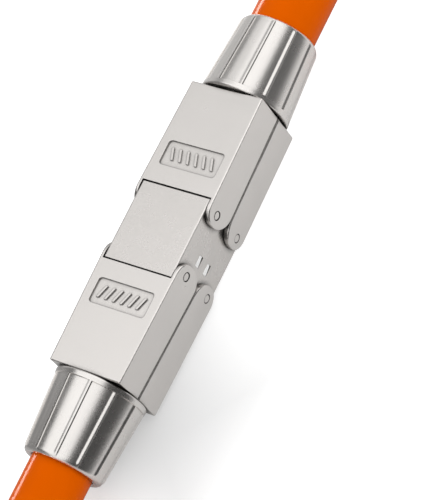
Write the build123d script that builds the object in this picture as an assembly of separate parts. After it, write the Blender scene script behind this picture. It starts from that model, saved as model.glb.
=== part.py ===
from build123d import *
import math
import os

# Inline coupler that joins two shielded data cables end to end, in millimetres.
# The origin is the centre of the coupler on the cable axis, +X runs along the cables
# and +Z is up. End b is the +X end and end a is its mirror image at -X.

# Main sizes
overall_length = 70.0
body_length = 45.0
body_depth = 11.6
parting_gap = 0.2

# Shells. They are a little wider at the hinges than at the cable ends, and
# narrower at the top face than at the parting line.
ear_thickness = 0.795
end_narrowing = 1.1
hinge_top_narrowing = 0.65
end_top_narrowing = 0.15
hinge_width_position = 7.3
plate_thickness = 0.9
side_wall = 0.9
end_wall = 1.2
notch_position = 6.35
ear_tip_position = 3.2
ear_outer_radius = 2.25
ear_flat = 0.55
outer_edge_radius = 0.22
spare_height = 1.0

# Centre frame
frame_length = 12.25
frame_width = 11.65
frame_below_shell = 0.06
frame_side_wall = 0.825
frame_plate = 0.84
ear_clearance = 0.08

# Hinge pins
pin_radius = 0.62
pin_position_x = 4.85
pin_position_z = 3.5
pin_hole_clearance = 0.08
pin_seat_clearance = 0.02

# Latch windows in the sides of the centre frame
window_start = -2.4
window_length = 1.7
window_low = 0.82
window_height = 1.0
latch_clearance = 0.06
latch_inset = 0.06
latch_ramp = 0.28

# Recessed label panels
label_start = 9.1
label_length = 3.9
label_width = 9.55
label_depth = 0.25
label_corner_radius = 0.55
grip_bar_below_face = 0.03
grip_bar_count = 6
grip_bar_pitch = 1.35
grip_bar_width = 0.38
grip_bar_length = 1.9
grip_bar_slant = 0.7

# Cables. The one at end b has the thicker jacket.
cable_a_radius = 4.55
cable_b_radius = 5.1
screen_radius = 3.7
screen_wall = 0.35
cable_free_length = 65.0
grip_squeeze = 0.2
jacket_inside_wall = 2.9
screen_past_jacket = 1.6
pair_past_screen = 0.4
pair_radius = 1.3
pair_offset = 1.4
conductor_radius = 0.48

# Threaded neck and nut
neck_end_to_mouth = 4.1
neck_wall = 0.45
neck_bore_clearance = 0.03
thread_height = 0.22
thread_clearance = 0.08
nut_gap = 0.18
nut_base_radius = 6.87
nut_mouth_radius = 6.11
nut_shoulder_length = 1.07
nut_lip_radius = 5.45
nut_lip_clearance = 0.1
nut_lip_length = 1.3
nut_rim_length = 0.85
nut_bore_past_neck = 0.4
rib_count = 11
rib_height = 0.22
rib_top_width = 0.26
rib_step_width = 0.7
rib_step_depth = 0.14
rib_base_width = 1.25
rib_first_angle = 19.0

# Slip ring between the nut and the cable
slip_ring_length = 2.2
slip_ring_wall = 0.3
slip_ring_clearance = 0.06

# Contact carriers, pressed wires and their screen
carrier_length = 24.0
carrier_clearance = 0.05
carrier_terminal_height = 2.6
shield_thickness = 0.6
shield_fin_thickness = 0.4
shield_fin_height = 2.35
shield_clearance = 0.05
contact_pitch = 2.4
contact_bar_height = 1.5
contact_thickness = 0.3
contact_bar_width = 0.8
fork_position = 9.2
fork_width = 1.7
fork_tip_height = 4.2
fork_slot_width = 1.06
fork_slot_floor = 2.9
contact_clearance = 0.04
wire_height = 3.42
presser_start = 6.9
presser_length = 4.7
presser_clearance = 0.06
wire_end = 7.6
fan_start = 14.2
fan_end = 12.2

# Sizes that follow from the ones above
body_half = body_length / 2
half_depth = body_depth / 2
half_gap = parting_gap / 2
ear_parting_radius = half_depth - half_gap - ear_outer_radius - ear_flat
frame_depth = body_depth - 2 * frame_below_shell
frame_opening_width = frame_width - 2 * frame_side_wall
frame_opening_depth = frame_depth - 2 * frame_plate
hinge_width_at_parting = frame_width + 2 * (ear_clearance + ear_thickness)
hinge_width_at_top = hinge_width_at_parting - hinge_top_narrowing
end_width_at_parting = hinge_width_at_parting - end_narrowing
end_width_at_top = end_width_at_parting - end_top_narrowing
cavity_width = end_width_at_parting - 2 * side_wall
cavity_half_depth = half_depth - plate_thickness
cavity_end = body_half - end_wall
nut_base_position = body_half + nut_gap
nut_mouth_position = overall_length / 2
nut_shoulder_position = nut_mouth_position - nut_shoulder_length
grip = grip_squeeze - neck_bore_clearance
neck_radius = cable_b_radius - grip + neck_wall
neck_end = nut_mouth_position - neck_end_to_mouth
nut_bore_radius = neck_radius + thread_height + thread_clearance
nut_bore_end = neck_end + nut_bore_past_neck
nut_lip_start = nut_mouth_position - nut_lip_length
slip_ring_outer_radius = cable_b_radius + slip_ring_clearance + slip_ring_wall
slip_pocket_radius = slip_ring_outer_radius + slip_ring_clearance
cable_end = nut_mouth_position + cable_free_length
core_radius = screen_radius - screen_wall
jacket_start = cavity_end - jacket_inside_wall
screen_start = jacket_start - screen_past_jacket
pair_straight_end = screen_start - pair_past_screen
carrier_half_width = frame_opening_width / 2 - carrier_clearance
carrier_top = frame_opening_depth / 2 - carrier_clearance
carrier_bottom = shield_thickness / 2 + shield_clearance


def half_width(x, at_parting):
    """Half the width of the shells at a place along X, at the parting line or at the top face."""
    if at_parting:
        end, hinge = end_width_at_parting / 2, hinge_width_at_parting / 2
    else:
        end, hinge = end_width_at_top / 2, hinge_width_at_top / 2
    slope = (hinge - end) / (body_half - hinge_width_position)
    return end + slope * (body_half - x)


def box_between(x0, x1, y0, y1, z0, z1):
    """A box given by its two limits along each axis."""
    centre = ((x0 + x1) / 2, (y0 + y1) / 2, (z0 + z1) / 2)
    return Pos(*centre) * Box(abs(x1 - x0), abs(y1 - y0), abs(z1 - z0))


def rod(x0, x1, radius, y=0.0, z=0.0):
    """A cylinder along X."""
    plane = Plane(origin=(x0, y, z), x_dir=(0, 1, 0), z_dir=(1, 0, 0))
    return extrude(plane * Circle(radius), amount=x1 - x0)


def cross_rod(x, z, radius, y0, y1):
    """A cylinder along Y."""
    plane = Plane(origin=(x, y0, z), x_dir=(1, 0, 0), z_dir=(0, 1, 0))
    return extrude(plane * Circle(radius), amount=y1 - y0)


def link(start, end, radius):
    """A round bar between two points, with rounded ends."""
    path = Vector(*end) - Vector(*start)
    plane = Plane(origin=start, z_dir=path)
    bar = extrude(plane * Circle(radius), amount=path.length)
    return bar + Pos(*start) * Sphere(radius) + Pos(*end) * Sphere(radius)


def shell_section(x):
    """The sides of the upper shell across the cable axis at x, taller than it by spare_height each way."""
    low, high = half_width(x, True), half_width(x, False)
    spread = (high - low) / (half_depth - half_gap) * spare_height
    low, high = low - spread, high + spread
    z0, z1 = half_gap - spare_height, half_depth + spare_height
    plane = Plane(origin=(x, 0, 0), x_dir=(0, 1, 0), z_dir=(1, 0, 0))
    corners = [(-low, z0), (low, z0), (high, z1), (-high, z1)]
    return plane * make_face(Polyline(*corners, close=True))


def ear_profile():
    """The side view of a shell, with the rounded hinge end. It gives the flat top and parting faces."""
    low, high = ear_parting_radius, ear_outer_radius
    x0, x1 = ear_tip_position, body_half + 1
    z0, z1 = half_gap, half_depth
    part_of_radius = 1 - math.cos(math.pi / 4)
    low_in, high_in = low * part_of_radius, high * part_of_radius
    low_arc = ThreePointArc((x0, z0 + low), (x0 + low_in, z0 + low_in), (x0 + low, z0))
    high_arc = ThreePointArc((x0 + high, z1), (x0 + high_in, z1 - high_in), (x0, z1 - high))
    edges = [
        Line((x0 + high, z1), (x1, z1)),
        Line((x1, z1), (x1, z0)),
        Line((x1, z0), (x0 + low, z0)),
        low_arc,
        Line((x0, z0 + low), (x0, z1 - high)),
        high_arc,
    ]
    plane = Plane(origin=(0, -body_depth, 0), x_dir=(1, 0, 0), z_dir=(0, -1, 0))
    return extrude(plane * make_face(edges), amount=-2 * body_depth)


def grip_bar(y):
    """One raised slanting grip bar in the label panel."""
    x0 = label_start + (label_length - grip_bar_length) / 2
    x1 = x0 + grip_bar_length
    half, lean = grip_bar_width / 2, grip_bar_slant / 2
    corners = [
        (x0, y - lean - half),
        (x1, y + lean - half),
        (x1, y + lean + half),
        (x0, y - lean + half),
    ]
    plane = Plane(origin=(0, 0, half_depth - label_depth))
    bar = make_face(Polyline(*corners, close=True))
    return extrude(plane * bar, amount=label_depth - grip_bar_below_face)


def label_panel():
    """What is cut from the top face for the label panel: a shallow recess with raised grip bars."""
    centre = (label_start + label_length / 2, 0, half_depth - label_depth)
    outline = RectangleRounded(label_length, label_width, label_corner_radius)
    panel = extrude(Pos(*centre) * outline, amount=2 * label_depth)
    for n in range(grip_bar_count):
        panel -= grip_bar((n - (grip_bar_count - 1) / 2) * grip_bar_pitch)
    return panel


def upper_shell(cable_radius):
    """The upper half-shell at the +X end, with its ears and its half of the threaded neck."""
    shell = loft([shell_section(ear_tip_position - 1), shell_section(body_half)], ruled=True)
    shell &= ear_profile()
    long_edges = [
        e
        for e in shell.edges()
        if abs(e.center().Z - half_depth) < 0.01 and e.center().X > ear_tip_position + 2
    ]
    corner_edges = [
        e
        for e in shell.edges()
        if abs(e.center().X - body_half) < 0.01 and half_gap + 1 < e.center().Z < half_depth - 1
    ]
    shell = fillet(long_edges + corner_edges, outer_edge_radius)
    frame_half = frame_width / 2 + ear_clearance
    shell -= box_between(0, notch_position, -frame_half, frame_half, -1, body_depth)
    cavity_half = cavity_width / 2
    shell -= box_between(0, cavity_end, -cavity_half, cavity_half, -1, cavity_half_depth)
    neck = rod(body_half - end_wall / 2, neck_end, neck_radius)
    neck &= box_between(0, overall_length, -body_depth, body_depth, half_gap, body_depth)
    shell += neck
    shell -= rod(0, overall_length, cable_radius - grip)
    hole = pin_radius + pin_hole_clearance
    shell -= cross_rod(pin_position_x, pin_position_z, hole, -body_depth, body_depth)
    shell -= label_panel()
    return shell


def hinge_pin():
    """The pin of the upper +X ear on the +Y side."""
    low, high = half_width(pin_position_x, True), half_width(pin_position_x, False)
    surface = low + (high - low) * pin_position_z / half_depth
    head = surface - 0.03
    seat = frame_opening_width / 2 + 0.1
    pin = cross_rod(pin_position_x, pin_position_z, pin_radius, seat, head)
    rim = [e for e in pin.edges() if abs(e.center().Y - head) < 0.01]
    return chamfer(rim, 0.08)


def centre_frame():
    """The fixed middle block that carries the four shells on its hinge pins."""
    frame = Box(frame_length, frame_width, frame_depth)
    frame = fillet(frame.edges().filter_by(Axis.X), outer_edge_radius)
    frame -= Box(overall_length, frame_opening_width, frame_opening_depth)
    for side_z in (1, -1):
        low, high = side_z * window_low, side_z * (window_low + window_height)
        frame -= box_between(
            window_start, window_start + window_length, -frame_width, frame_width, low, high
        )
        for side_x in (1, -1):
            frame -= cross_rod(
                side_x * pin_position_x,
                side_z * pin_position_z,
                pin_radius + pin_seat_clearance,
                -frame_width,
                frame_width,
            )
    return frame


def latch(side_y):
    """The ramped lug of the upper carrier that snaps into a window of the frame."""
    x0 = window_start + latch_clearance
    x1 = window_start + window_length - latch_clearance
    root = side_y * (carrier_half_width - 0.3)
    tip = side_y * (frame_width / 2 - latch_inset)
    low_tip = side_y * (frame_width / 2 - latch_inset - latch_ramp)
    z0 = window_low + latch_clearance
    corners = [(x0, root), (x0, tip), (x1, low_tip), (x1, root)]
    face = Plane(origin=(0, 0, z0)) * make_face(Polyline(*corners, close=True))
    return extrude(face, amount=window_height - 2 * latch_clearance)


def contact_places():
    """Where the four contacts of a carrier lie across the coupler."""
    return [(n - 1.5) * contact_pitch for n in range(4)]


def upper_carrier():
    """The upper plastic carrier, which holds four contacts and snaps into the frame."""
    half_length, half_block = carrier_length / 2, frame_length / 2
    w = carrier_half_width
    carrier = box_between(
        -half_length, half_length, -w, w, carrier_bottom, carrier_terminal_height
    )
    carrier += box_between(-half_block, half_block, -w, w, carrier_bottom, carrier_top)
    carrier += latch(1) + latch(-1)
    fin = shield_fin_thickness / 2 + shield_clearance
    fin_top = shield_fin_height + shield_clearance
    carrier -= box_between(-half_length, half_length, -fin, fin, 0, fin_top)
    c = contact_clearance
    bar_low, bar_high = contact_bar_height - c, contact_bar_height + contact_thickness + c
    bar_half = contact_bar_width / 2 + c
    fork_half = fork_width / 2 + c
    for y in contact_places():
        reach = fork_position + contact_thickness / 2 + c
        carrier -= box_between(-reach, reach, y - bar_half, y + bar_half, bar_low, bar_high)
        for side in (1, -1):
            near = side * (fork_position - contact_thickness / 2 - c)
            far = side * (fork_position + contact_thickness / 2 + c)
            carrier -= box_between(
                near, far, y - fork_half, y + fork_half, bar_low, half_depth
            )
    return carrier


def contact_strip(y):
    """A contact strip of the upper carrier, with an insulation-cutting fork at each end."""
    reach = fork_position + contact_thickness / 2
    bar_half = contact_bar_width / 2
    bar_top = contact_bar_height + contact_thickness
    strip = box_between(-reach, reach, y - bar_half, y + bar_half, contact_bar_height, bar_top)
    for side in (1, -1):
        near = side * (fork_position - contact_thickness / 2)
        far = side * reach
        half = fork_width / 2
        strip += box_between(near, far, y - half, y + half, contact_bar_height, fork_tip_height)
        slot = fork_slot_width / 2
        strip -= box_between(near, far, y - slot, y + slot, fork_slot_floor, half_depth)
    return strip


def pair_shield():
    """The metal cross that keeps the four wire pairs apart."""
    length = carrier_length
    plate = Box(length, 2 * carrier_half_width, shield_thickness)
    fin = Box(length, shield_fin_thickness, 2 * shield_fin_height)
    return plate + fin


def wire_presser():
    """The plastic block in the upper +X shell that pushes the wires into the forks."""
    x0, x1 = presser_start, presser_start + presser_length
    low = carrier_terminal_height + presser_clearance
    high = cavity_half_depth - presser_clearance
    block = box_between(x0, x1, -carrier_half_width, carrier_half_width, low, high)
    channel = conductor_radius + presser_clearance
    fork_half = fork_width / 2 + presser_clearance
    blade = contact_thickness / 2 + presser_clearance
    for y in contact_places():
        block -= box_between(x0, x1, y - channel, y + channel, 0, wire_height + channel)
        block -= box_between(
            fork_position - blade,
            fork_position + blade,
            y - fork_half,
            y + fork_half,
            0,
            fork_tip_height + presser_clearance,
        )
    return block


def wire_pair():
    """The foil-wrapped pair on the +Y side of the upper half at the +X end, fanned out to its two forks."""
    pair_y = contact_pitch
    lay = rod(pair_straight_end, cable_end, pair_radius, pair_offset, pair_offset)
    knee = (pair_straight_end, pair_offset, pair_offset)
    fan = (fan_start, pair_y, wire_height - 0.2)
    pair = lay + link(knee, fan, 1.0)
    for side in (1, -1):
        y = pair_y + side * contact_pitch / 2
        start = (fan_start, pair_y + side * 0.45, wire_height - 0.1)
        bend = (fan_end, y, wire_height)
        pair += link(start, bend, conductor_radius)
        pair += rod(wire_end, fan_end, conductor_radius, y, wire_height)
    return pair


def tube(x0, x1, outer, inner):
    """A round tube along X."""
    return rod(x0, x1, outer) - rod(x0 - 1, x1 + 1, inner)


def cable_jacket(cable_radius):
    """The jacket of the +X cable, pressed in a little where the neck grips it."""
    gripped = rod(jacket_start, nut_mouth_position, cable_radius - grip_squeeze)
    free = rod(nut_mouth_position, cable_end, cable_radius)
    return gripped + free - rod(0, cable_end + 1, screen_radius)


def nut_barrel(inset):
    """The tapered outside of the nut with its rounded mouth, as a solid of revolution."""
    base = (nut_base_position, nut_base_radius - inset)
    shoulder = (nut_shoulder_position, nut_mouth_radius - inset)
    lip = (nut_mouth_position, nut_lip_radius)
    slope = math.atan2(nut_base_radius - nut_mouth_radius, nut_shoulder_position - nut_base_position)
    edges = [
        Line((base[0], 0), base),
        Line(base, shoulder),
        TangentArc(shoulder, lip, tangent=(math.cos(slope), -math.sin(slope))),
        Line(lip, (lip[0], 0)),
        Line((lip[0], 0), (base[0], 0)),
    ]
    profile = Plane.XZ * make_face(edges)
    return revolve(profile, Axis.X)


def nut_rib(angle):
    """One raised rib, laid along the slope of the barrel and turned to its angle about X."""
    run = nut_shoulder_position - nut_base_position
    slope = math.atan2(nut_base_radius - nut_mouth_radius, run)
    along = (math.cos(slope), 0, -math.sin(slope))
    start = (nut_base_position, 0, nut_base_radius)
    plane = Plane(origin=start, x_dir=(0, 1, 0), z_dir=along)
    half_top, half_step, half_base = rib_top_width / 2, rib_step_width / 2, rib_base_width / 2
    corners = [
        (-half_top, 0),
        (half_top, 0),
        (half_step, -rib_step_depth),
        (half_base, -rib_height),
        (half_base, -3 * rib_height),
        (-half_base, -3 * rib_height),
        (-half_base, -rib_height),
        (-half_step, -rib_step_depth),
    ]
    outline = make_face(Polyline(*corners, close=True))
    rib = extrude(plane * outline, amount=run / math.cos(slope))
    return Rot(angle, 0, 0) * rib


def cable_nut(cable_radius):
    """The ribbed nut at the +X end."""
    nut = nut_barrel(rib_height)
    rim_end = nut_base_position + nut_rim_length
    rim = nut_barrel(0) & rod(nut_base_position, rim_end, 2 * nut_base_radius)
    nut += rim
    for n in range(rib_count):
        nut += nut_rib(rib_first_angle + n * 360 / rib_count)
    nut &= nut_barrel(0)
    nut -= rod(nut_base_position, nut_bore_end, nut_bore_radius)
    nut -= rod(nut_bore_end, nut_lip_start, slip_pocket_radius)
    nut -= rod(nut_lip_start, nut_mouth_position, cable_radius + nut_lip_clearance)
    return nut


def slip_ring(cable_radius):
    """The ring inside the nut's mouth that slides on the cable and doesn't turn."""
    end = nut_lip_start - slip_ring_clearance
    inner = cable_radius + slip_ring_clearance
    return tube(end - slip_ring_length, end, slip_ring_outer_radius, inner)


def flipped(solid, x=False, y=False, z=False):
    """A piece on the other side along each named axis. Two flips are the same as half a turn."""
    if (x + y + z) % 2:
        if x:
            solid, x = mirror(solid, about=Plane.YZ), False
        elif y:
            solid, y = mirror(solid, about=Plane.XZ), False
        else:
            solid, z = mirror(solid, about=Plane.XY), False
    return Rot(180 * (y and z), 180 * (x and z), 180 * (x and y)) * solid


pieces = {"centre_frame": centre_frame(), "pair_shield": pair_shield()}

# The upper and lower carriers are the same, and so are their contacts
carrier = upper_carrier()
strips = [contact_strip(place) for place in contact_places()]
for level, lower in (("upper", False), ("lower", True)):
    pieces[f"contact_carrier_{level}"] = flipped(carrier, z=lower)
    for number, strip in enumerate(strips, start=1):
        pieces[f"contact_strip_{level}_{number}"] = flipped(strip, z=lower)

# End a is the mirror image of end b, but for the thickness of its cable
presser, pin, pair = wire_presser(), hinge_pin(), wire_pair()
screen = tube(screen_start, cable_end, screen_radius, core_radius)
for end, at_a, radius in (("b", False, cable_b_radius), ("a", True, cable_a_radius)):
    once_per_end = {
        "cable_nut": cable_nut(radius),
        "slip_ring": slip_ring(radius),
        "cable_jacket": cable_jacket(radius),
        "cable_screen": screen,
    }
    twice_per_end = {"shell": upper_shell(radius), "wire_presser": presser}
    four_per_end = {"hinge_pin": pin, "wire_pair": pair}
    for name, solid in once_per_end.items():
        pieces[f"{name}_{end}"] = flipped(solid, x=at_a)
    for level, lower in (("upper", False), ("lower", True)):
        for name, solid in twice_per_end.items():
            pieces[f"{name}_{end}_{level}"] = flipped(solid, x=at_a, z=lower)
        for side, front in (("back", False), ("front", True)):
            for name, solid in four_per_end.items():
                label = f"{name}_{end}_{level}_{side}"
                pieces[label] = flipped(solid, x=at_a, y=front, z=lower)

os.makedirs("parts", exist_ok=True)
for name, solid in pieces.items():
    export_step(solid, f"parts/{name}.step")
    box = solid.bounding_box()
    low = tuple(round(v, 2) for v in box.min)
    high = tuple(round(v, 2) for v in box.max)
    print(name, round(solid.volume, 2), low, high, len(solid.solids()), solid.is_valid)
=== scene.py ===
import bpy
import math
from mathutils import Matrix, Vector


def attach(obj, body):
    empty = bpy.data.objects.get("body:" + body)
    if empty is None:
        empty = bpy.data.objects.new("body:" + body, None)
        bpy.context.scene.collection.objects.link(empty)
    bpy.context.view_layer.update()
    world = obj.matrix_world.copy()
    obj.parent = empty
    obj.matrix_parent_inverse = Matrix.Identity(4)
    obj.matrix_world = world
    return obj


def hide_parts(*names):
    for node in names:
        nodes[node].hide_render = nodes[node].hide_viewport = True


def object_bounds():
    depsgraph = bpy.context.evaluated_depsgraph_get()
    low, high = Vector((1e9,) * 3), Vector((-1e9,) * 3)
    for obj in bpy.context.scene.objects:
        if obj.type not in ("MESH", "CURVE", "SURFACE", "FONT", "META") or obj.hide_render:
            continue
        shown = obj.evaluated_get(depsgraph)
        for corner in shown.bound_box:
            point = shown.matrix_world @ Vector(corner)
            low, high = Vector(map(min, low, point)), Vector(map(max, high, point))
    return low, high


# Inline cable coupler with two orange data cables. The part's lengths are in millimetres until a
# mesh is made. The camera, the floor, the lights, the cards and the materials are in metres.
# +X runs along the cables towards end b, +Z is up, and -Y is the side that the camera sees.

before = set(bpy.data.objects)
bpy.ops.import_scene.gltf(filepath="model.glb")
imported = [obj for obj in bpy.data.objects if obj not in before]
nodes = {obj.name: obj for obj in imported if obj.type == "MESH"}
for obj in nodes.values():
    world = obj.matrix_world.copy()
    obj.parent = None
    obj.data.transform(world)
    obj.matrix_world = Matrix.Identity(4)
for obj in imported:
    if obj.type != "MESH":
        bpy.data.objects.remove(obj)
cad_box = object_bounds()
MM = 0.001
ENDS = (("b", 1), ("a", -1))

# Camera, fitted to the photograph
CAMERA_PLACE = (-0.083675, -0.179730, 0.262048)
CAMERA_RIGHT = (0.43147, -0.80957, -0.39804)
CAMERA_UP = (0.86387, 0.24364, 0.44088)
CAMERA_BACK = (-0.25994, -0.53408, 0.80448)
CAMERA_LENS = 169.53
CAMERA_SENSOR = 36
CAMERA_CLIP = (0.005, 20)

# Edges sharper than this many degrees stay sharp
SHARP_ANGLE = 35.0
NUT_SHARP_ANGLE = 32.0

# Cables, as in part.py
NUT_MOUTH = 35.0
CABLE_END = 100.0
JACKET_START = 18.4
SCREEN_START = 16.8
CABLE_RADIUS = {"b": 5.1, "a": 4.55}
GRIP_SQUEEZE = 0.2
SCREEN_RADIUS = 3.7
SCREEN_WALL = 0.35
PAIR_RADIUS = 1.3
PAIR_OFFSET = 1.4

# How the cables are drawn: the middle points of their line, and how the gripped part widens to the
# free part's size just inside the nut's mouth
CABLE_MIDDLES = (51.0, 68.0, 85.0)
GRIP_TAPER = 0.5
GRIP_END_DROP = 0.02
TUBE_SIDES = 96

# Cut end of a cable. The leans of the wires are in degrees.
CUT_BRAID_PROUD = 0.35
CUT_PAIR_PROUD = (1.3, 0.8, 1.6, 1.0)
CUT_WIRE_PROUD = (1.4, 2.1, 1.8, 1.2)
FOIL_WALL = 0.06
WIRE_RADIUS = 0.58
WIRE_SPREAD = 0.61
WIRE_DEEP = 4.0
WIRE_CUT_EDGE = 0.05
WIRE_LEAN_FIRST = 35
WIRE_LEAN_STEP = 70
CORE_RADIUS = 0.26
CORE_PROUD = 0.5
CORE_DEEP = 0.5
JACKET_CUT_EDGE = 0.12
FOIL_SIDES = 32
WIRE_SIDES = 24
CORE_SIDES = 20

# Nut, as in part.py, with the small radii that the photograph shows
NUT_BASE = 22.68
NUT_BASE_RADIUS = 6.87
NUT_SHOULDER = 33.93
NUT_SHOULDER_RADIUS = 6.11
NUT_LIP_RADIUS = 5.45
NUT_BORE_RADIUS = 5.68
NUT_BORE_END = 31.3
NUT_POCKET_RADIUS = 5.52
NUT_LIP_START = 33.7
NUT_LIP_CLEARANCE = 0.1
NUT_RIM_END = 23.53
NUT_RIM_STEP = 0.07
NUT_EDGE = 0.24
NUT_EDGE_STEPS = 4
NUT_LIP_EDGE = 0.1
PANEL_FADE = (34.1, 34.8)

# Where the nut's outside has its loops of points: one past the base, some over the rim's step,
# and then a start, a spacing and a number of loops for the barrel and for the rounded mouth
NUT_FIRST_LOOP = 0.4
NUT_RIM_LEAD = 0.02
NUT_RIM_PARTS = (0.25, 0.5, 0.75, 1.0)
NUT_BARREL_LOOPS = (0.2, 0.78, 13)
NUT_MOUTH_LOOPS = (-0.2, 0.06, 21)

# Ribs on the nut. RIB_FIRST is the angle of the first, and the values from RIB_TOP_HALF on are
# degrees from the middle of a rib.
RIB_COUNT = 11
RIB_FIRST = 19.0
RIB_HEIGHT = 0.22
RIB_STEP = 0.18
RIB_SLANT_DROP = 0.15
RIB_TOP_HALF = 0.6
RIB_SLANT_END = 4.6
RIB_STEEP_END = 1.0
RIB_FILLET_END = 2.2
RIB_SAMPLES = (0, 0.6, 0.7, 0.8, 0.9, 1.0, 1.3, 1.6, 1.9, 2.2, 2.7, 3.2, 3.7, 4.2, 4.6, 6.2,
               8.2, 10.0, 12.0, 14.2)

# Thread on the neck. THREAD_STEP is in degrees.
NECK_RADIUS = 5.38
THREAD_START = 22.95
THREAD_END = 30.55
THREAD_PITCH = 1.25
THREAD_CREST = 5.6
THREAD_ROOT_HALF = 0.42
THREAD_CREST_HALF = 0.12
THREAD_SINK = 0.05
THREAD_STEP = 4.0
HALF_GAP = 0.1

# Lug faces in the latch windows: the window along X and its heights, the gap around the lug, the
# rise of its lower edge, and how far its face and its back lie from the middle along Y
WINDOW = (-2.4, -0.7)
WINDOW_LOW, WINDOW_HIGH = 0.82, 1.82
LUG_GAP = 0.03
LUG_WEDGE = 0.3
LUG_FACE = 5.79
LUG_BACK = 5.3

# Floor. The lift is painted light that it adds for the camera: least in the shadow beside end a,
# and more elsewhere, where it pales the shadow. Each pair after it is where the lift starts to grow
# and where it is full: two along X and two along Y.
FLOOR_SIZE = 6
FLOOR_COLOR = 0.55
FLOOR_ROUGHNESS = 0.9
FLOOR_LIFT = (0.33, 0.9)
FLOOR_LIFT_ALONG = (-0.026, 0.014)
FLOOR_LIFT_BEYOND = (-0.026, -0.056)
FLOOR_LIFT_BEHIND = (-0.003, 0.008)
FLOOR_LIFT_FRONT = (-0.008, -0.04)

# Painted light that the floor adds for reflections: more towards end b, and only a small share of it
# from under the coupler on towards +Y, which is painted shade there
FLOOR_GLOSS_LIFT = (0.22, 0.31)
FLOOR_GLOSS_RANGE = (-0.03, 0.03)
FLOOR_GLOSS_UNDER = (-0.0052, -0.0066)
FLOOR_GLOSS_UNDER_SHARE = 0.1

# Lights. A level is how bright the room or the face of a lamp is, where 1 is white.
ROOM_LEVEL = 0.5
TOP_LIGHT_LEVEL = 0.62
TOP_LIGHT_X = 0.13
TOP_LIGHT_HEIGHT = 0.6
TOP_LIGHT_SIZE = (1.0, 0.87)
KEY_PLACE = (-0.1, 0.6, 0.42)
KEY_LEVEL = 5.0
KEY_SIZE = 0.3
FILL_PLACE = (0.1, -0.55, 0.3)
FILL_LEVEL = 3.2
FILL_SIZE = 0.4

# The strip that draws a bright line along the cables, and lights nothing else
STRIPE_LEVEL = 18.0
STRIPE_Y = 0.03
STRIPE_LOW, STRIPE_HIGH = 0.0012, 0.0085
STRIPE_LENGTH = 0.5

# The light that draws the bright front edges of these nodes, and lights nothing else
EDGE_LIT = ("centre_frame", "shell_b_upper", "shell_a_upper")
EDGE_LIGHT_PLACE = (0.12, -0.07, 0.0465)
EDGE_LIGHT_TARGET = (0.12, 0.0, 0.0)
EDGE_LIGHT_SIZE = (0.26, 0.04)
EDGE_LIGHT_LEVEL = 1.7

# Cards that only reflections see. The ceiling's level changes along X. Overhead a share of it is
# added, which changes along X too and fades out across Y.
CEILING_HALF = 1.2
CEILING_ALONG = (1.24, 0.86)
CEILING_ALONG_RANGE = (0.1, 0.3)
CEILING_NEAR = (-0.05, 0.45)
CEILING_NEAR_RANGE = (0.07, 0.25)
CEILING_ACROSS_RANGE = (0.1, 0.28)

# Standing cards: place along Y, height of the top edge above the cables' axis, its slope along X,
# and the levels at foot and top
STANDING_CARD_HALF = 0.6
BACK_CARD = (0.25, 0.276, -0.2)
BACK_CARD_LEVELS = (0.62, 0.02)
FRONT_CARD = (-0.08, 0.112, -0.1)
FRONT_CARD_LEVELS = (0.12, 0.12)

# Cards on the floor: the places along Y of the near edge, of the second level and of the far edge,
# and the two levels
FLOOR_CARD_HALF = 2.0
FLOOR_CARD_HEIGHT = 0.0001
BACK_FLOOR_CARD = (0.012, 0.05, 0.25)
BACK_FLOOR_LEVELS = (1.1, 0.5)
FRONT_FLOOR_CARD = (-0.024, -0.05, -0.08)
FRONT_FLOOR_LEVELS = (0.7, 0.15)

# What the levels of the standing cards and of those on the floor are multiplied by along X
CARD_ALONG = (0.5, 1.15)
CARD_ALONG_RANGE = (-0.02, 0.06)

# What the materials share. Clouds have a detail and a roughness, and noise lies mostly within its
# middle range. Painted shade in a corner is darkest where the corner is open by the first share,
# and gone from the second on.
METAL_CLOUDS = (5.0, 0.62)
PLASTIC_CLOUDS = (4.0, 0.6)
PLASTIC_CLOUD_SIZE = 0.006
CLOUD_MIDDLE = (0.25, 0.75)
FINE_MIDDLE = (0.2, 0.8)
GLOSS_SPREAD = 0.03
BUMP_HEIGHT = 0.00002
CORNER_RANGE = (0.5, 0.95)
NODE_SAMPLES = 8

# Braid: waves around it, waves along it in radians per metre, and its look
BRAID_STRANDS = 48.0
BRAID_ALONG = 9000.0
BRAID_COLOR = (0.78, 0.77, 0.75)
BRAID_SHADE = (0.35, 1.0)
BRAID_ROUGHNESS = 0.32
BRAID_BUMP = 0.8
BRAID_BUMP_HEIGHT = 0.0001


def add_object(name, data):
    """A new object with its data, put into the scene."""
    made = bpy.data.objects.new(name, data)
    bpy.context.scene.collection.objects.link(made)
    return made


def make_camera():
    """The camera at the photograph's viewing angle."""
    data = bpy.data.cameras.new("camera")
    data.lens = CAMERA_LENS
    data.sensor_width = CAMERA_SENSOR
    data.clip_start, data.clip_end = CAMERA_CLIP
    camera = add_object("camera", data)
    turn = Matrix((CAMERA_RIGHT, CAMERA_UP, CAMERA_BACK)).transposed()
    camera.matrix_world = Matrix.Translation(CAMERA_PLACE) @ turn.to_4x4()
    bpy.context.scene.camera = camera


def ring(x, radius, y=0.0, z=0.0, sides=TUBE_SIDES):
    """Points around a circle across the X axis."""
    turns = [2 * math.pi * n / sides for n in range(sides)]
    return [(x, y + radius * math.cos(turn), z + radius * math.sin(turn)) for turn in turns]


def new_object(name, points, faces, material, sharp=SHARP_ANGLE):
    """A mesh object from points in millimetres, smooth but for edges sharper than an angle."""
    mesh = bpy.data.meshes.new(name)
    mesh.from_pydata([tuple(MM * value for value in point) for point in points], [], faces)
    mesh.validate()
    mesh.polygons.foreach_set("use_smooth", [True] * len(mesh.polygons))
    mesh.set_sharp_from_angle(angle=math.radians(sharp))
    mesh.materials.append(material)
    return add_object(name, mesh)


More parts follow.
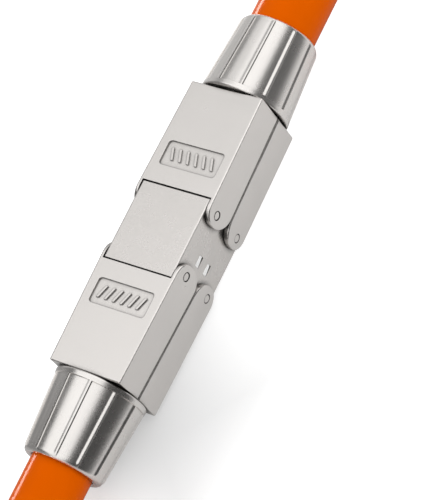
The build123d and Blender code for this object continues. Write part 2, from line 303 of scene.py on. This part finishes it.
def loops_object(name, loops, material, side=1, closed=True, sharp=SHARP_ANGLE):
    """A mesh through loops of points along +X, mirrored to end a where side is -1.

    Where closed, the last loop joins the first. Otherwise each end gets a cap.
    """
    points = [(side * x, y, z) for loop in loops for x, y, z in loop]
    sides, count = len(loops[0]), len(loops)
    faces = []
    for n in range(count if closed else count - 1):
        low, high = n * sides, (n + 1) % count * sides
        for k in range(sides):
            after = (k + 1) % sides
            face = (low + k, low + after, high + after, high + k)
            faces.append(face if side == 1 else face[::-1])
    if not closed:
        first = tuple(range(sides))[::-1]
        last = tuple(range((count - 1) * sides, count * sides))
        faces.append(first if side == 1 else first[::-1])
        faces.append(last if side == 1 else last[::-1])
    return new_object(name, points, faces, material, sharp)


def cable_line(side):
    """Points along the free cable, read from its own spline."""
    curve = bpy.data.curves.new("cable_line", "CURVE")
    curve.dimensions = "3D"
    spline = curve.splines.new("NURBS")
    places = [NUT_MOUTH, *CABLE_MIDDLES, CABLE_END]
    spline.points.add(len(places) - 1)
    for point, x in zip(spline.points, places):
        point.co = (side * x * MM, 0.0, 0.0, 1.0)
    spline.order_u = 3
    spline.use_endpoint_u = True
    guide = add_object("cable_line", curve)
    line = bpy.data.meshes.new_from_object(guide)
    points = [tuple(vertex.co) for vertex in line.vertices]
    bpy.data.objects.remove(guide)
    return sorted(points, key=lambda point: abs(point[0]))


def tube_loops(stations, sides=TUBE_SIDES, y=0.0, z=0.0):
    """Loops from a list of places and radii."""
    return [ring(x, radius, y, z, sides) for x, radius in stations]


def make_cable(end, side):
    """The free jacket of one end, its gripped part in the coupler, and what its cut end shows."""
    radius = CABLE_RADIUS[end]
    line = cable_line(side)
    along = [abs(point[0]) / MM for point in line]
    outside = [(x, radius) for x in along[:-1]]
    cut = [
        (CABLE_END - JACKET_CUT_EDGE, radius),
        (CABLE_END, radius - JACKET_CUT_EDGE),
        (CABLE_END, SCREEN_RADIUS),
    ]
    loops = tube_loops([(NUT_MOUTH, SCREEN_RADIUS), *outside, *cut])
    jacket = loops_object(f"cable_{end}", loops, orange, side)
    squeezed = radius - GRIP_SQUEEZE
    inside = [
        (JACKET_START, SCREEN_RADIUS),
        (JACKET_START, squeezed),
        (NUT_MOUTH - GRIP_TAPER, squeezed),
        (NUT_MOUTH, radius - GRIP_END_DROP),
        (NUT_MOUTH, SCREEN_RADIUS),
    ]
    gripped = loops_object(f"cable_{end}_gripped", tube_loops(inside), orange, side)
    braid_end = CABLE_END + CUT_BRAID_PROUD
    core_radius = SCREEN_RADIUS - SCREEN_WALL
    braid_stations = [
        (SCREEN_START, core_radius),
        (SCREEN_START, SCREEN_RADIUS),
        (braid_end, SCREEN_RADIUS),
        (braid_end, core_radius),
    ]
    braid = loops_object(f"cable_{end}_braid", tube_loops(braid_stations), braid_tin, side)
    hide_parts(f"cable_jacket_{end}")
    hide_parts(f"cable_jacket_{end}")
    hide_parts(f"cable_screen_{end}")
    for piece, slot in ((jacket, "cable_jacket"), (gripped, "cable_jacket"), (braid, "cable_screen")):
        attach(piece, "coupler")
    pieces = [braid, *make_cut_pairs(end, side)]


def make_cut_pairs(end, side):
    """The foil of each pair at the cut end, with its two coloured wires and their copper."""
    made = []
    foil_inside = PAIR_RADIUS - FOIL_WALL
    corners = ((1, 1), (-1, 1), (-1, -1), (1, -1))
    for number, (way_y, way_z) in enumerate(corners):
        y, z = way_y * PAIR_OFFSET, way_z * PAIR_OFFSET
        foil_end = CABLE_END + CUT_PAIR_PROUD[number]
        foil_stations = [
            (CABLE_END - WIRE_DEEP, foil_inside),
            (CABLE_END - WIRE_DEEP, PAIR_RADIUS),
            (foil_end, PAIR_RADIUS),
            (foil_end, foil_inside),
        ]
        name = f"cable_{end}_foil_{number + 1}"
        made.append(loops_object(name, tube_loops(foil_stations, FOIL_SIDES, y, z), foil_metal, side))
        lean = math.radians(WIRE_LEAN_FIRST + WIRE_LEAN_STEP * number)
        for wire, (way, color) in enumerate(((1, pair_colors[number]), (-1, pale_wire))):
            wire_y = y + way * WIRE_SPREAD * math.cos(lean)
            wire_z = z + way * WIRE_SPREAD * math.sin(lean)
            wire_end = foil_end + CUT_WIRE_PROUD[(number + wire) % len(CUT_WIRE_PROUD)]
            core_end = wire_end + CORE_PROUD
            wire_stations = [
                (CABLE_END - WIRE_DEEP, WIRE_RADIUS),
                (wire_end - WIRE_CUT_EDGE, WIRE_RADIUS),
                (wire_end, WIRE_RADIUS - WIRE_CUT_EDGE),
            ]
            core_stations = [
                (wire_end - CORE_DEEP, CORE_RADIUS),
                (core_end - WIRE_CUT_EDGE, CORE_RADIUS),
                (core_end, CORE_RADIUS - WIRE_CUT_EDGE),
            ]
            name = f"cable_{end}_wire_{number + 1}_{wire + 1}"
            loops = tube_loops(wire_stations, WIRE_SIDES, wire_y, wire_z)
            made.append(loops_object(name, loops, color, side, closed=False))
            loops = tube_loops(core_stations, CORE_SIDES, wire_y, wire_z)
            made.append(loops_object(f"{name}_core", loops, copper, side, closed=False))
    for piece in made:
        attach(piece, "coupler")
    return made


def smooth(part):
    """A soft step from 0 to 1."""
    part = min(1.0, max(0.0, part))
    return part * part * (3 - 2 * part)


def barrel_radius(x):
    """The nut's radius over its ribs, with the rounded mouth."""
    run = NUT_SHOULDER - NUT_BASE
    slope = math.atan2(NUT_BASE_RADIUS - NUT_SHOULDER_RADIUS, run)
    if x <= NUT_SHOULDER:
        return NUT_BASE_RADIUS - (x - NUT_BASE) * math.tan(slope)
    across = (-math.sin(slope), -math.cos(slope))
    chord = (NUT_MOUTH - NUT_SHOULDER, NUT_LIP_RADIUS - NUT_SHOULDER_RADIUS)
    bend = (chord[0] ** 2 + chord[1] ** 2) / (2 * (chord[0] * across[0] + chord[1] * across[1]))
    centre_x = NUT_SHOULDER + bend * across[0]
    centre_radius = NUT_SHOULDER_RADIUS + bend * across[1]
    return centre_radius + math.sqrt(bend ** 2 - (x - centre_x) ** 2)


def share_of(value, start, end):
    """How far a value has come from start to end, from 0 to 1."""
    return min(1.0, max(0.0, (value - start) / (end - start)))


def panel_depth(offset):
    """How far the nut's surface lies below its ribs, by the angle from the nearest rib.

    Each rib slants on the side towards +Y over its top and is steep on the other.
    """
    far = 180 / RIB_COUNT
    half_drift = (RIB_HEIGHT - RIB_SLANT_DROP) / 2
    if offset < 0:
        part = share_of(-offset, RIB_TOP_HALF, RIB_SLANT_END)
        slant = RIB_SLANT_DROP * (part + smooth(part)) / 2
        return slant + half_drift * share_of(-offset, RIB_SLANT_END, far)
    step = RIB_STEP * smooth(share_of(offset, RIB_TOP_HALF, RIB_STEEP_END))
    part = share_of(offset, RIB_STEEP_END, RIB_FILLET_END)
    fillet = (RIB_HEIGHT - RIB_STEP) * (1 - (1 - part) ** 2)
    return step + fillet - half_drift * share_of(offset, RIB_FILLET_END, far)


def panel_share(x):
    """1 where the panels have their full depth, 0 at the rim and at the mouth."""
    low = smooth((x - NUT_RIM_END) / NUT_RIM_STEP)
    high = 1 - smooth((x - PANEL_FADE[0]) / (PANEL_FADE[1] - PANEL_FADE[0]))
    return low * high


def nut_angles():
    """Angles around the nut, close together at the ribs, with each one's offset from its rib."""
    sector = 360 / RIB_COUNT
    offsets = [-sample for sample in RIB_SAMPLES[:0:-1]] + list(RIB_SAMPLES) + [sector / 2]
    angles = []
    for n in range(RIB_COUNT):
        # part.py turns each rib from +Z about X, so its angle from +Y is 90 more
        centre = 90 + RIB_FIRST + n * sector
        angles += [(math.radians(centre + offset), offset) for offset in offsets]
    return angles


def nut_loop(x, radius_at):
    """A loop around the nut at x, with a radius for each offset from the nearest rib."""
    loop = []
    for angle, offset in nut_angles():
        radius = radius_at(offset)
        loop.append((x, radius * math.cos(angle), radius * math.sin(angle)))
    return loop


def round_loop(x, radius):
    """A loop around the nut at x, with one radius."""
    return nut_loop(x, lambda offset: radius)


def outer_loop(x):
    """A loop around the nut's outside at x, with its ribs and panels."""
    return nut_loop(x, lambda offset: barrel_radius(x) - panel_share(x) * panel_depth(offset))


def spaced(base, start, step, count):
    """Evenly spaced places, of which the first lies start beyond base."""
    return [base + start + n * step for n in range(count)]


def make_nut(end, side):
    """The ribbed nut with its rim, rounded mouth and bore."""
    lip_bore = CABLE_RADIUS[end] + NUT_LIP_CLEARANCE
    bore = [
        (NUT_LIP_START, NUT_POCKET_RADIUS),
        (NUT_BORE_END, NUT_POCKET_RADIUS),
        (NUT_BORE_END, NUT_BORE_RADIUS),
        (NUT_BASE + NUT_EDGE, NUT_BORE_RADIUS),
        (NUT_BASE, NUT_BORE_RADIUS + NUT_EDGE),
    ]
    loops = [round_loop(x, radius) for x, radius in bore]
    for n in range(NUT_EDGE_STEPS + 1):
        turn = n / NUT_EDGE_STEPS * math.pi / 2
        drop = NUT_EDGE * (1 - math.sin(turn))
        radius = barrel_radius(NUT_BASE + drop) - drop
        x = NUT_BASE + NUT_EDGE * (1 - math.cos(turn))
        loops.append(round_loop(x, radius))
    stations = [NUT_BASE + NUT_FIRST_LOOP, NUT_RIM_END - NUT_RIM_LEAD, NUT_RIM_END]
    stations += [NUT_RIM_END + NUT_RIM_STEP * part for part in NUT_RIM_PARTS]
    stations += spaced(NUT_RIM_END, *NUT_BARREL_LOOPS)
    stations += spaced(NUT_SHOULDER, *NUT_MOUTH_LOOPS)
    loops += [outer_loop(x) for x in stations]
    lip = [
        (NUT_MOUTH, NUT_LIP_RADIUS),
        (NUT_MOUTH, lip_bore + NUT_LIP_EDGE),
        (NUT_MOUTH - NUT_LIP_EDGE, lip_bore),
        (NUT_LIP_START, lip_bore),
    ]
    loops += [round_loop(x, radius) for x, radius in lip]
    nut = loops_object(f"nut_{end}", loops, nut_metal, side, sharp=NUT_SHARP_ANGLE)
    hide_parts(f"cable_nut_{end}")
    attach(nut, f"cable_nut_{end}_body")


def make_thread(end, side, level, up):
    """The thread's crests on one half of the neck, as one row of ridges cut at the parting."""
    section = (
        (-THREAD_ROOT_HALF, NECK_RADIUS - THREAD_SINK),
        (-THREAD_ROOT_HALF, NECK_RADIUS),
        (-THREAD_CREST_HALF, THREAD_CREST),
        (THREAD_CREST_HALF, THREAD_CREST),
        (THREAD_ROOT_HALF, NECK_RADIUS),
        (THREAD_ROOT_HALF, NECK_RADIUS - THREAD_SINK),
    )
    width = len(section)
    points, faces = [], []
    start = math.degrees(math.asin(HALF_GAP / NECK_RADIUS))
    steps = int((180 - 2 * start) / THREAD_STEP) + 1
    first_turn = 0.0 if up == 1 else 0.5
    turn = 0
    while True:
        base = THREAD_START + (turn + first_turn) * THREAD_PITCH
        if base + THREAD_PITCH / 2 > THREAD_END:
            break
        row_start = len(points)
        for n in range(steps + 1):
            angle = start + (180 - 2 * start) * n / steps
            x = base + THREAD_PITCH * angle / 360
            around = math.radians(angle)
            for shift, radius in section:
                y, z = up * radius * math.cos(around), up * radius * math.sin(around)
                points.append((side * (x + shift), side * y, z))
        for n in range(steps):
            low = row_start + width * n
            for k in range(width):
                here, after = low + k, low + (k + 1) % width
                faces.append((here, after, after + width, here + width))
        first = tuple(row_start + k for k in range(width))
        last = tuple(row_start + width * steps + k for k in range(width))
        faces.append(first[::-1])
        faces.append(last)
        turn += 1
    thread = new_object(f"neck_thread_{end}_{level}", points, faces, nickel)
    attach(thread, "coupler")


def make_lug_faces():
    """The white faces of the lugs in the latch windows, each a little short of its window."""
    start, end = WINDOW[0] + LUG_GAP, WINDOW[1] - LUG_GAP
    for level, low, high in (("upper", WINDOW_LOW, WINDOW_HIGH), ("lower", -WINDOW_HIGH, -WINDOW_LOW)):
        outline = [
            (start, low + LUG_GAP),
            (end, low + LUG_GAP + LUG_WEDGE),
            (end, high - LUG_GAP),
            (start, high - LUG_GAP),
        ]
        count = len(outline)
        for side_name, side in (("back", 1), ("front", -1)):
            points = [(x, side * LUG_FACE, z) for x, z in outline]
            points += [(x, side * LUG_BACK, z) for x, z in outline]
            faces = [tuple(range(count)), tuple(range(count, 2 * count))[::-1]]
            for k in range(count):
                after = (k + 1) % count
                faces.append((k, k + count, after + count, after))
            if side == 1:
                faces = [face[::-1] for face in faces]
            lug = new_object(f"lug_face_{level}_{side_name}", points, faces, white)
            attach(lug, "coupler")


def add_node(tree, kind, **inputs):
    """A shader node with its sockets and settings filled in."""
    node = tree.nodes.new(kind)
    for name, value in inputs.items():
        if name in node.inputs:
            node.inputs[name].default_value = value
        else:
            setattr(node, name, value)
    return node


def new_material(name):
    """An empty node material, its tree and its principled shader."""
    material = bpy.data.materials.new(name)
    material.use_nodes = True
    tree = material.node_tree
    return material, tree, tree.nodes["Principled BSDF"]


def map_range(tree, value, low, high, from_low=0.0, from_high=1.0, soft=False):
    """A value brought from one range to another, and held at its ends."""
    node = add_node(tree, "ShaderNodeMapRange")
    if soft:
        node.interpolation_type = "SMOOTHSTEP"
    node.inputs["From Min"].default_value = from_low
    node.inputs["From Max"].default_value = from_high
    node.inputs["To Min"].default_value = low
    node.inputs["To Max"].default_value = high
    tree.links.new(value, node.inputs["Value"])
    return node.outputs["Result"]


def combined(tree, operation, first, second):
    """Two values put together by a Math node."""
    node = add_node(tree, "ShaderNodeMath", operation=operation)
    tree.links.new(first, node.inputs[0])
    tree.links.new(second, node.inputs[1])
    return node.outputs[0]


def product(tree, first, second):
    """Two values multiplied."""
    return combined(tree, "MULTIPLY", first, second)


def split(tree, vector):
    """A node that gives a vector's X, Y and Z."""
    node = add_node(tree, "ShaderNodeSeparateXYZ")
    tree.links.new(vector, node.inputs[0])
    return node


def position(tree):
    """A node that gives X, Y and Z of the place in the scene."""
    return split(tree, add_node(tree, "ShaderNodeNewGeometry").outputs["Position"])


def scaled_color(tree, color, value):
    """A colour made lighter or darker by a value."""
    node = add_node(tree, "ShaderNodeVectorMath", operation="SCALE")
    node.inputs[0].default_value = color
    tree.links.new(value, node.inputs["Scale"])
    return node.outputs["Vector"]


def noise(tree, place, size, detail=3.0, rough=0.5, stretch=None):
    """Noise with features about size metres across, longer along an axis whose stretch is below 1."""
    node = add_node(tree, "ShaderNodeTexNoise", Scale=1 / size, Detail=detail, Roughness=rough)
    if stretch:
        mapping = add_node(tree, "ShaderNodeMapping")
        mapping.inputs["Scale"].default_value = stretch
        tree.links.new(place, mapping.inputs["Vector"])
        place = mapping.outputs["Vector"]
    tree.links.new(place, node.inputs["Vector"])
    return node.outputs["Fac"]


def metal(name, color, roughness, grain, grain_size, cloud=0.03, cloud_size=0.004, painted_shade=0.68,
          edge=0.0001, stretch=None, reach=0.0009):
    """Plated metal: fine grain, soft clouds in colour and gloss, soft edges and painted corner shade.

    The sizes, the edge's radius and the reach of the painted corner shade are in metres.
    """
    material, tree, shader = new_material(name)
    shader.inputs["Metallic"].default_value = 1.0
    place = add_node(tree, "ShaderNodeTexCoord").outputs["Object"]
    clouds = noise(tree, place, cloud_size, *METAL_CLOUDS)
    fine = noise(tree, place, grain_size, stretch=stretch)
    tint = map_range(tree, clouds, 1 - cloud, 1 + cloud, *CLOUD_MIDDLE)
    speckle = map_range(tree, fine, 1 - cloud, 1 + cloud, *FINE_MIDDLE)
    # Painted shade: the colour darkens in corners, gaps and recesses, the less open they are.
    corner = add_node(tree, "ShaderNodeAmbientOcclusion", Distance=reach, samples=NODE_SAMPLES)
    painted_corner_shade = map_range(tree, corner.outputs["AO"], 1 - painted_shade, 1.0, *CORNER_RANGE)
    shade = product(tree, product(tree, tint, speckle), painted_corner_shade)
    soft_edge = add_node(tree, "ShaderNodeBevel", Radius=edge, samples=NODE_SAMPLES)
    tree.links.new(scaled_color(tree, color, shade), shader.inputs["Base Color"])
    gloss = map_range(tree, clouds, roughness - GLOSS_SPREAD, roughness + GLOSS_SPREAD, *CLOUD_MIDDLE)
    tree.links.new(gloss, shader.inputs["Roughness"])
    bump = add_node(tree, "ShaderNodeBump", Strength=grain, Distance=BUMP_HEIGHT)
    tree.links.new(fine, bump.inputs["Height"])
    tree.links.new(soft_edge.outputs["Normal"], bump.inputs["Normal"])
    tree.links.new(bump.outputs["Normal"], shader.inputs["Normal"])
    return material


def plastic(name, color, roughness, grain, grain_size=0.00016, specular=0.5, tint=None, cloud=0.02):
    """Moulded plastic with a fine grain and slightly uneven colour."""
    material, tree, shader = new_material(name)
    shader.inputs["Specular IOR Level"].default_value = specular
    if tint:
        shader.inputs["Specular Tint"].default_value = (*tint, 1)
    place = add_node(tree, "ShaderNodeTexCoord").outputs["Object"]
    clouds = noise(tree, place, PLASTIC_CLOUD_SIZE, *PLASTIC_CLOUDS)
    shade = map_range(tree, clouds, 1 - cloud, 1 + cloud, *CLOUD_MIDDLE)
    tree.links.new(scaled_color(tree, color, shade), shader.inputs["Base Color"])
    gloss = map_range(tree, clouds, roughness - GLOSS_SPREAD, roughness + GLOSS_SPREAD, *CLOUD_MIDDLE)
    tree.links.new(gloss, shader.inputs["Roughness"])
    fine = noise(tree, place, grain_size)
    bump = add_node(tree, "ShaderNodeBump", Strength=grain, Distance=BUMP_HEIGHT)
    tree.links.new(fine, bump.inputs["Height"])
    tree.links.new(bump.outputs["Normal"], shader.inputs["Normal"])
    return material


def braid_material():
    """Tinned braid: two sets of fine wires that wind round the cable in opposite ways."""
    material, tree, shader = new_material("braid_tin")
    shader.inputs["Metallic"].default_value = 1.0
    parts = split(tree, add_node(tree, "ShaderNodeTexCoord").outputs["Object"])
    angle = combined(tree, "ARCTAN2", parts.outputs["Z"], parts.outputs["Y"])
    along = add_node(tree, "ShaderNodeMath", operation="MULTIPLY")
    along.inputs[1].default_value = BRAID_ALONG
    tree.links.new(parts.outputs["X"], along.inputs[0])
    waves = []
    for way in (1, -1):
        lean = add_node(tree, "ShaderNodeMath", operation="MULTIPLY_ADD")
        lean.inputs[1].default_value = way * BRAID_STRANDS
        tree.links.new(angle, lean.inputs[0])
        tree.links.new(along.outputs[0], lean.inputs[2])
        wave = add_node(tree, "ShaderNodeMath", operation="SINE")
        tree.links.new(lean.outputs[0], wave.inputs[0])
        waves.append(wave.outputs[0])
    weave = product(tree, *waves)
    shade = map_range(tree, weave, *BRAID_SHADE, -1.0, 1.0)
    tree.links.new(scaled_color(tree, BRAID_COLOR, shade), shader.inputs["Base Color"])
    shader.inputs["Roughness"].default_value = BRAID_ROUGHNESS
    bump = add_node(tree, "ShaderNodeBump", Strength=BRAID_BUMP, Distance=BRAID_BUMP_HEIGHT)
    tree.links.new(weave, bump.inputs["Height"])
    tree.links.new(bump.outputs["Normal"], shader.inputs["Normal"])
    return material


def make_floor():
    """A grey floor, paled for the camera by painted light, that keeps the coupler's shadow."""
    bpy.ops.mesh.primitive_plane_add(size=FLOOR_SIZE, location=(0, 0, cad_box[0][2]))
    floor = bpy.context.object
    floor.name = "floor"
    material, tree, shader = new_material("floor")
    shader.inputs["Base Color"].default_value = (FLOOR_COLOR, FLOOR_COLOR, FLOOR_COLOR, 1)
    shader.inputs["Roughness"].default_value = FLOOR_ROUGHNESS
    shader.inputs["Specular IOR Level"].default_value = 0.0
    ray = add_node(tree, "ShaderNodeLightPath")
    parts = position(tree)
    outside = [
        map_range(tree, parts.outputs[axis], 0.0, 1.0, *limits, soft=True)
        for axis, limits in (
            ("X", FLOOR_LIFT_ALONG),
            ("X", FLOOR_LIFT_BEYOND),
            ("Y", FLOOR_LIFT_BEHIND),
            ("Y", FLOOR_LIFT_FRONT),
        )
    ]
    most = outside[0]
    for share in outside[1:]:
        most = combined(tree, "MAXIMUM", most, share)
    # Painted light for the camera, least beside end a, where the shadow shows.
    seen = product(tree, map_range(tree, most, *FLOOR_LIFT), ray.outputs["Is Camera Ray"])
    # Painted light for reflections, more towards end b, with painted shade under the coupler.
    gloss = map_range(tree, parts.outputs["X"], *FLOOR_GLOSS_LIFT, *FLOOR_GLOSS_RANGE)
    beside = map_range(tree, parts.outputs["Y"], FLOOR_GLOSS_UNDER_SHARE, 1.0, *FLOOR_GLOSS_UNDER)
    gloss = product(tree, product(tree, gloss, beside), ray.outputs["Is Glossy Ray"])
    lift = add_node(tree, "ShaderNodeEmission")
    tree.links.new(combined(tree, "ADD", seen, gloss), lift.inputs["Strength"])
    both = add_node(tree, "ShaderNodeAddShader")
    tree.links.new(shader.outputs[0], both.inputs[0])
    tree.links.new(lift.outputs[0], both.inputs[1])
    tree.links.new(both.outputs[0], tree.nodes["Material Output"].inputs["Surface"])
    floor.data.materials.append(material)


def area_light(name, place, target, size, level):
    """A soft box at a place, turned to a target, that shows as bright as level."""
    data = bpy.data.lights.new(name, "AREA")
    data.shape = "RECTANGLE"
    data.size, data.size_y = size
    data.energy = level * math.pi * size[0] * size[1]
    light = add_object(name, data)
    direction = Vector(target) - Vector(place)
    light.rotation_euler = direction.to_track_quat("-Z", "Y").to_euler()
    light.location = place
    return light


def reflected_card(name, corners):
    """A card that only reflections see. Gives its material's tree and its glow's strength socket."""
    mesh = bpy.data.meshes.new(name)
    mesh.from_pydata(corners, [], [(0, 1, 2, 3)])
    card = add_object(name, mesh)
    material, tree, _ = new_material(name)
    glow = add_node(tree, "ShaderNodeEmission")
    tree.links.new(glow.outputs[0], tree.nodes["Material Output"].inputs["Surface"])
    mesh.materials.append(material)
    card.visible_camera = False
    card.visible_diffuse = False
    card.visible_shadow = False
    return tree, glow.inputs["Strength"]


def link_card_level(tree, parts, across, strength):
    """Makes a card as bright as a level across it, and brighter towards end b."""
    along = map_range(tree, parts.outputs["X"], *CARD_ALONG, *CARD_ALONG_RANGE)
    tree.links.new(product(tree, across, along), strength)


def standing_card(name, place, levels):
    """A card that stands beside the set, from one level at its foot to another at its top."""
    y, top, slope = place
    low = cad_box[0][2]
    foot = [(x, y, low) for x in (-STANDING_CARD_HALF, STANDING_CARD_HALF)]
    head = [(x, y, top + slope * x) for x in (STANDING_CARD_HALF, -STANDING_CARD_HALF)]
    tree, strength = reflected_card(name, foot + head)
    parts = position(tree)
    level = map_range(tree, parts.outputs["Z"], *levels, low, top)
    link_card_level(tree, parts, level, strength)


def level_corners(half, near, far, z):
    """The corners of a level card, from -half to half along X and from near to far along Y."""
    return [(-half, near, z), (half, near, z), (half, far, z), (-half, far, z)]


def ceiling_card():
    """The soft box as reflections see it, brighter over end a, and overhead brighter over end b."""
    corners = level_corners(CEILING_HALF, -CEILING_HALF, CEILING_HALF, TOP_LIGHT_HEIGHT)
    tree, strength = reflected_card("ceiling_card", corners)
    parts = position(tree)
    along = map_range(tree, parts.outputs["X"], *CEILING_ALONG, *CEILING_ALONG_RANGE)
    near = map_range(tree, parts.outputs["X"], *CEILING_NEAR, *CEILING_NEAR_RANGE)
    overhead = map_range(tree, parts.outputs["Y"], 1.0, 0.0, *CEILING_ACROSS_RANGE)
    level = add_node(tree, "ShaderNodeMath", operation="MULTIPLY_ADD")
    tree.links.new(product(tree, near, overhead), level.inputs[0])
    tree.links.new(along, level.inputs[1])
    tree.links.new(along, level.inputs[2])
    tree.links.new(level.outputs[0], strength)


def floor_card(name, places, levels):
    """The floor on one side as reflections see it, darker away from the coupler."""
    near, middle, far = places
    z = cad_box[0][2] + FLOOR_CARD_HEIGHT
    tree, strength = reflected_card(name, level_corners(FLOOR_CARD_HALF, near, far, z))
    parts = position(tree)
    level = map_range(tree, parts.outputs["Y"], *levels, near, middle)
    link_card_level(tree, parts, level, strength)


def make_room():
    """A pale room, white for the camera and for reflections."""
    world = bpy.data.worlds.new("room")
    bpy.context.scene.world = world
    world.use_nodes = True
    tree = world.node_tree
    background = tree.nodes["Background"]
    background.inputs["Color"].default_value = (1, 1, 1, 1)
    ray = add_node(tree, "ShaderNodeLightPath")
    either = combined(tree, "MAXIMUM", ray.outputs["Is Camera Ray"], ray.outputs["Is Glossy Ray"])
    tree.links.new(map_range(tree, either, ROOM_LEVEL, 1.0), background.inputs["Strength"])


def light_only(light, objects):
    """Keeps a light to the gloss of a few objects."""
    light.visible_diffuse = False
    lit = bpy.data.collections.new(f"lit_by_{light.name}")
    for thing in objects:
        lit.objects.link(thing)
    light.light_linking.receiver_collection = lit


def make_lights():
    """Three soft boxes, the cards that only reflections see, and two lamps that draw bright lines."""
    make_room()
    top = area_light("top_light", (TOP_LIGHT_X, 0, TOP_LIGHT_HEIGHT), (TOP_LIGHT_X, 0, 0),
                     TOP_LIGHT_SIZE, TOP_LIGHT_LEVEL)
    key = area_light("back_key", KEY_PLACE, (0, 0, 0), (KEY_SIZE, KEY_SIZE), KEY_LEVEL)
    fill = area_light("front_fill", FILL_PLACE, (0, 0, 0), (FILL_SIZE, FILL_SIZE), FILL_LEVEL)
    for light in (top, key, fill):
        light.visible_glossy = False
    ceiling_card()
    standing_card("back_card", BACK_CARD, BACK_CARD_LEVELS)
    standing_card("front_card", FRONT_CARD, FRONT_CARD_LEVELS)
    floor_card("back_floor_card", BACK_FLOOR_CARD, BACK_FLOOR_LEVELS)
    floor_card("front_floor_card", FRONT_FLOOR_CARD, FRONT_FLOOR_LEVELS)
    middle, height = (STRIPE_LOW + STRIPE_HIGH) / 2, STRIPE_HIGH - STRIPE_LOW
    strip = area_light("cable_strip", (0, STRIPE_Y, middle), (0, 0, middle),
                       (STRIPE_LENGTH, height), STRIPE_LEVEL)
    light_only(strip, [bpy.data.objects[f"cable_{end}"] for end, _ in ENDS])
    edge = area_light("edge_light", EDGE_LIGHT_PLACE, EDGE_LIGHT_TARGET,
                      EDGE_LIGHT_SIZE, EDGE_LIGHT_LEVEL)
    light_only(edge, [nodes[name] for name in EDGE_LIT])


make_camera()
# Every metal here gets painted shade in its corners, and the nut only a little.
nickel = metal(
    "satin_nickel", color=(0.72, 0.692, 0.668), roughness=0.25, grain=0.22, grain_size=0.00012,
)
block_nickel = metal(
    "block_nickel", color=(0.70, 0.672, 0.648), roughness=0.27, grain=0.16, grain_size=0.0001,
    cloud=0.045, cloud_size=0.0035, stretch=(1.0, 0.25, 1.0),
)
nut_metal = metal(
    "bright_nickel", color=(0.765, 0.738, 0.712), roughness=0.27, grain=0.1, grain_size=0.0001,
    cloud_size=0.005, painted_shade=0.15, edge=0.00003, stretch=(0.08, 1.0, 1.0), reach=0.0005,
)
tin = metal("tin", color=(0.8, 0.79, 0.77), roughness=0.35, grain=0.3, grain_size=0.0001)
bronze = metal("gold_flash", color=(0.9, 0.68, 0.32), roughness=0.25, grain=0.2, grain_size=0.0001)
foil_metal = metal(
    "foil", color=(0.85, 0.85, 0.85), roughness=0.28, grain=0.9, grain_size=0.0004, edge=0.00001,
)
copper = metal(
    "copper", color=(0.86, 0.42, 0.22), roughness=0.3, grain=0.2, grain_size=0.0001, edge=0.00001,
)
braid_tin = braid_material()
white = plastic("white_plastic", color=(0.93, 0.93, 0.92), roughness=0.45, grain=0.2)
dark = plastic("dark_plastic", color=(0.03, 0.03, 0.032), roughness=0.4, grain=0.2)
pale_wire = plastic("pale_wire", color=(0.8, 0.79, 0.75), roughness=0.35, grain=0.1)
pair_colors = [
    plastic(f"{name}_wire", color, roughness=0.35, grain=0.1)
    for name, color in (
        ("blue", (0.03, 0.1, 0.45)),
        ("orange", (0.8, 0.2, 0.02)),
        ("green", (0.03, 0.3, 0.07)),
        ("brown", (0.2, 0.08, 0.03)),
    )
]
orange = plastic(
    "orange_jacket", color=(0.70, 0.103, 0.0), roughness=0.16, grain=0.05, grain_size=0.0003,
    specular=0.05, tint=(1.0, 0.25, 0.0), cloud=0.03,
)

for end, side in ENDS:
    make_cable(end, side)
    make_nut(end, side)
    for level, up in (("upper", 1), ("lower", -1)):
        make_thread(end, side, level, up)
make_lug_faces()

finish = {
    "centre_frame": block_nickel,
    "pair_shield": tin,
    "contact_carrier": white,
    "contact_strip": bronze,
    "cable_nut": nut_metal,
    "slip_ring": dark,
    "cable_jacket": orange,
    "cable_screen": tin,
    "shell": nickel,
    "wire_presser": white,
    "hinge_pin": nickel,
    "wire_pair": foil_metal,
}
for name, obj in nodes.items():
    key = next(start for start in finish if name.startswith(start))
    obj.data.materials.clear()
    obj.data.materials.append(finish[key])

make_floor()
make_lights()
bpy.context.scene.view_settings.view_transform = "Standard"
